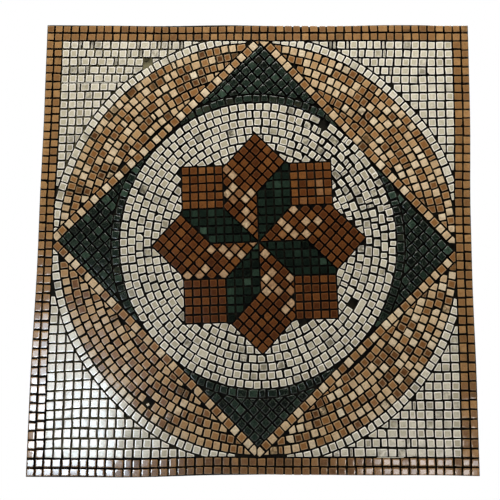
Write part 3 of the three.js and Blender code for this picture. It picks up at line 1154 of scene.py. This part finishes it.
def make_bed(material):
    """A thin sheet of resin, lumpy in the joints, with a dimpled back"""
    low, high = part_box("bed")
    bed = flat_sheet("resin_bed", 130, 135, sheet_width, sheet_height, high.y, high.y - low.y)
    at_edge = 0.0001
    for vertex in bed.data.vertices:
        lump = lumps_at(vertex.co, 180, 520)
        if vertex.co.y < (low.y + high.y) / 2:
            vertex.co.y += lump * BED_BACK_LUMPS
        else:
            vertex.co.y -= BED_FRONT_DIP + lump * BED_FRONT_LUMPS
        edge_lump = noise.noise(vertex.co * 90 + Vector((3, 0, 0))) * BED_EDGE_LUMPS
        if abs(vertex.co.x) > sheet_width / 2 - at_edge:
            vertex.co.x += math.copysign(edge_lump, vertex.co.x)
        if abs(vertex.co.z) > sheet_height / 2 - at_edge:
            vertex.co.z += math.copysign(edge_lump, vertex.co.z)
    finish_sheet(bed, material, 40)
    return bed


def make_joints(material):
    """The resin squeezed up between the stones, uneven, and narrower at its back"""
    width, height = sheet_width - 2 * RESIN_MARGIN, sheet_height - 2 * RESIN_MARGIN
    depth = BED_FRONT - (FACE + RESIN_DEPTH)
    joints = flat_sheet("joint_resin", 200, 208, width, height, BED_FRONT, depth)
    on_bed = BED_FRONT - 0.001
    for vertex in joints.data.vertices:
        if vertex.co.y < on_bed:
            vertex.co.y += lumps_at(vertex.co, 45, 240) * RESIN_LUMPS
            to_edge = min(sheet_width / 2 - abs(vertex.co.x), sheet_height / 2 - abs(vertex.co.z))
            if to_edge < RIM_RESIN_WIDTH:
                vertex.co.y = FACE + RIM_RESIN_DEPTH + noise.noise(vertex.co * 300) * RIM_LUMPS
        else:
            vertex.co.x *= 1 - RESIN_DRAWN_IN / sheet_width
            vertex.co.z *= 1 - RESIN_DRAWN_IN / sheet_height
    finish_sheet(joints, material, 50)
    return joints


def make_threads(name, length, width, turn, material):
    """Parallel threads of the net, each weaving over and under the ones across it"""
    crossings = int(length / NET_SPACING)
    bpy.ops.object.select_all(action="DESELECT")
    bpy.ops.mesh.primitive_cube_add(size=1, location=(0, 0, 0))
    threads = bpy.context.active_object
    threads.name = name
    mesh = threads.data
    bpy.ops.object.mode_set(mode="EDIT")
    bpy.ops.mesh.select_mode(type="EDGE")
    bpy.ops.mesh.select_all(action="SELECT")
    bpy.ops.transform.resize(value=(NET_THREAD_WIDTH, NET_THREAD_DEPTH, crossings * NET_SPACING))
    bpy.ops.mesh.select_all(action="DESELECT")
    bpy.ops.object.mode_set(mode="OBJECT")
    for edge in mesh.edges:
        first, second = (mesh.vertices[i].co for i in edge.vertices)
        edge.select = abs(first.z - second.z) > NET_SPACING
    bpy.ops.object.mode_set(mode="EDIT")
    bpy.ops.mesh.subdivide(number_cuts=crossings - 1)
    bpy.ops.object.mode_set(mode="OBJECT")
    count = int(width / NET_SPACING)
    row = threads.modifiers.new("row", "ARRAY")
    row.count = count
    row.use_relative_offset = False
    row.use_constant_offset = True
    row.constant_offset_displace = (NET_SPACING, 0, 0)
    apply_modifiers(threads)
    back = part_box("bed")[1].y
    half_width = (count - 1) * NET_SPACING / 2
    for vertex in mesh.vertices:
        thread = round(vertex.co.x / NET_SPACING)
        crossing = round(vertex.co.z / NET_SPACING + crossings / 2)
        over = 1 if (thread + crossing + turn) % 2 else -1
        wander = noise.noise(Vector((thread * 0.37, turn * 5.0, vertex.co.z * 18))) * NET_WANDER
        vertex.co.x += wander - half_width
        vertex.co.y += over * NET_THREAD_DEPTH * 0.4
    if turn:
        mesh.transform(turned(90, "Y"))
    proud = max(vertex.co.y for vertex in mesh.vertices)
    mesh.transform(Matrix.Translation((0, back - proud, 0)))
    follow_outline(threads)
    mesh.materials.append(material)
    return threads


# Loose glass fibres caught in the joints, as runs of places in stones
FIBRES = (
    ((-23.2, 18.42), (-21.0, 18.38), (-18.5, 18.4), (-16.2, 18.43)),
    ((13.9, -23.5), (15.4, -23.52), (16.9, -23.49)),
    ((-25.0, 25.1), (-25.35, 25.36)),
)


def make_fibre(name, places, material):
    curve = bpy.data.curves.new(name, "CURVE")
    curve.dimensions = "3D"
    curve.bevel_depth = FIBRE_RADIUS
    curve.bevel_resolution = 1
    curve.use_fill_caps = True
    run = curve.splines.new("BEZIER")
    run.bezier_points.add(len(places) - 1)
    for point, place in zip(run.bezier_points, places):
        moved = pulled(Vector(place))
        point.co = (moved.x * PITCH_U, FACE + FIBRE_DEPTH, moved.y * PITCH_V)
        point.handle_left_type = point.handle_right_type = "AUTO"
    fibre = bpy.data.objects.new(name, curve)
    bpy.context.collection.objects.link(fibre)
    only_active(fibre)
    bpy.ops.object.convert(target="MESH")
    bpy.ops.object.mode_set(mode="EDIT")
    bpy.ops.mesh.select_all(action="SELECT")
    bpy.ops.mesh.remove_doubles(threshold=0.0001)
    bpy.ops.object.mode_set(mode="OBJECT")
    fibre.data.materials.append(material)
    return fibre


# Building the panel

materials = stone_materials()
for node, (stones, kind) in all_fields().items():
    piece = build_stones(node + "_stones", stones)
    honed = node.startswith("green_rhombus")
    piece.data.materials.append(materials["honed_green_stone" if honed else kind])
    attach(piece, "root")
    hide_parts(node)

resin = resin_material()
bed = make_bed(resin)
joints = make_joints(resin)
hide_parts("bed")
for piece in (bed, joints):
    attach(piece, "root")
thread_material = net_material("glass-fibre thread", srgb(196, 196, 180), srgb(120, 118, 96))
fibre_material = net_material("loose glass fibre", srgb(240, 238, 228), srgb(206, 202, 184))
for name, length, across, turn in (
    ("net_warp", sheet_height, sheet_width, 0),
    ("net_weft", sheet_width, sheet_height, 1),
):
    threads = make_threads(name, length - NET_MARGIN, across - NET_MARGIN, turn, thread_material)
    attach(threads, "root")
for i, places in enumerate(FIBRES):
    fibre = make_fibre(f"loose_fibre_{i + 1}", places, fibre_material)
    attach(fibre, "root")


# Stage, lights and camera

def floor_material(centre_radius, rim_radius):
    """Pale floor that fades out into the white of the room"""
    material, tree, shader = new_material("pale floor")
    place = add(tree, "TexCoord").outputs["Object"]
    away = add(tree, "VectorMath", {0: place}, operation="LENGTH").outputs["Value"]
    fade = remap(tree, away, centre_radius, rim_radius)
    colour = blend(tree, fade, srgb(236, 235, 232), (0, 0, 0, 1))
    tree.links.new(colour, shader.inputs["Base Color"])
    shader.inputs["Roughness"].default_value = 0.8
    tree.links.new(remap(tree, fade, 0.0, 1.0, 1.0, 0.0), shader.inputs["Specular IOR Level"])
    shader.inputs["Emission Color"].default_value = (1, 1, 1, 1)
    tree.links.new(remap(tree, fade, 0.0, 1.0, 0.35, 1.0), shader.inputs["Emission Strength"])
    return material


def make_floor():
    """A round floor that ends before it comes into the camera's view"""
    bpy.ops.object.select_all(action="DESELECT")
    bpy.ops.mesh.primitive_circle_add(vertices=96, radius=FLOOR_RADIUS, fill_type="NGON", location=(0, 0, 0))
    floor = bpy.context.active_object
    floor.name = "floor"
    floor.data.materials.append(floor_material(FLOOR_RADIUS * 0.4, FLOOR_RADIUS * 0.95))
    floor.data.transform(Matrix.Translation((0, 0, panel_low.z - FLOOR_DROP)))
    floor.visible_diffuse = False


def area_light(name, place, aim, size, power, colour, glare_only):
    data = bpy.data.lights.new(name, "AREA")
    data.shape = "RECTANGLE"
    data.size, data.size_y = size
    data.energy = power
    data.color = colour
    lamp = bpy.data.objects.new(name, data)
    lamp.location = place
    lamp.rotation_euler = (Vector(aim) - Vector(place)).to_track_quat("-Z", "Y").to_euler()
    lamp.visible_camera = False
    lamp.visible_diffuse = not glare_only
    bpy.context.collection.objects.link(lamp)


def make_world():
    world = bpy.data.worlds.new("pale room")
    bpy.context.scene.world = world
    world.use_nodes = True
    tree = world.node_tree
    background = tree.nodes["Background"]
    seen = add(tree, "LightPath").outputs["Is Camera Ray"]
    colour = blend(tree, seen, (0.04, 0.0395, 0.0385, 1), (1.0, 1.0, 1.0, 1))
    tree.links.new(colour, background.inputs["Color"])


CAMERA_PLACE = (-0.0039, FACE - 0.8095, -0.0927)


def make_camera():
    """In front of the panel, a little below its middle, looking slightly up"""
    data = bpy.data.cameras.new("camera")
    data.lens = 43.2
    data.sensor_width = 36
    camera = bpy.data.objects.new("camera", data)
    turn = turned(0.11, "Z") @ turned(5.74, "X")
    roll = turned(-0.37, "Y") @ turned(90, "X")
    camera.matrix_world = Matrix.Translation(CAMERA_PLACE) @ turn @ roll
    bpy.context.collection.objects.link(camera)
    bpy.context.scene.camera = camera


MIDDLE = (0, FACE, 0)
# Each light's place, aim, size, power and colour, and whether it shows in reflections only
LIGHTS = {
    "window": ((-0.68, -1.5, -0.55), (-0.68, FACE, -0.55), (0.38, 0.36), 9.5, (0.74, 0.87, 1.0), True),
    "upper window": ((-0.7, -1.5, -0.24), (-0.7, FACE, -0.24), (0.34, 0.26), 2.2, (0.8, 0.9, 1.0), True),
    "low light": ((0.64, -1.5, -0.67), (0.64, FACE, -0.67), (0.36, 0.12), 1.2, (1.0, 0.95, 0.92), True),
    "high soft light": ((0.0, -0.75, 1.5), MIDDLE, (1.2, 0.6), 38, (1.0, 0.97, 0.92), False),
    "right soft light": ((1.9, -1.1, 0.3), MIDDLE, (0.8, 1.0), 16, (1.0, 0.97, 0.93), False),
    "left soft light": ((-1.9, -1.3, 0.4), MIDDLE, (0.8, 1.0), 11, (1.0, 0.98, 0.95), False),
    "back light": ((0.6, 1.6, 0.9), (0, 0, 0), (1.2, 1.2), 22, (1.0, 0.98, 0.96), False),
}

make_floor()
make_world()
make_camera()
for name, settings in LIGHTS.items():
    area_light(name, *settings)
bpy.context.scene.view_settings.view_transform = "Standard"
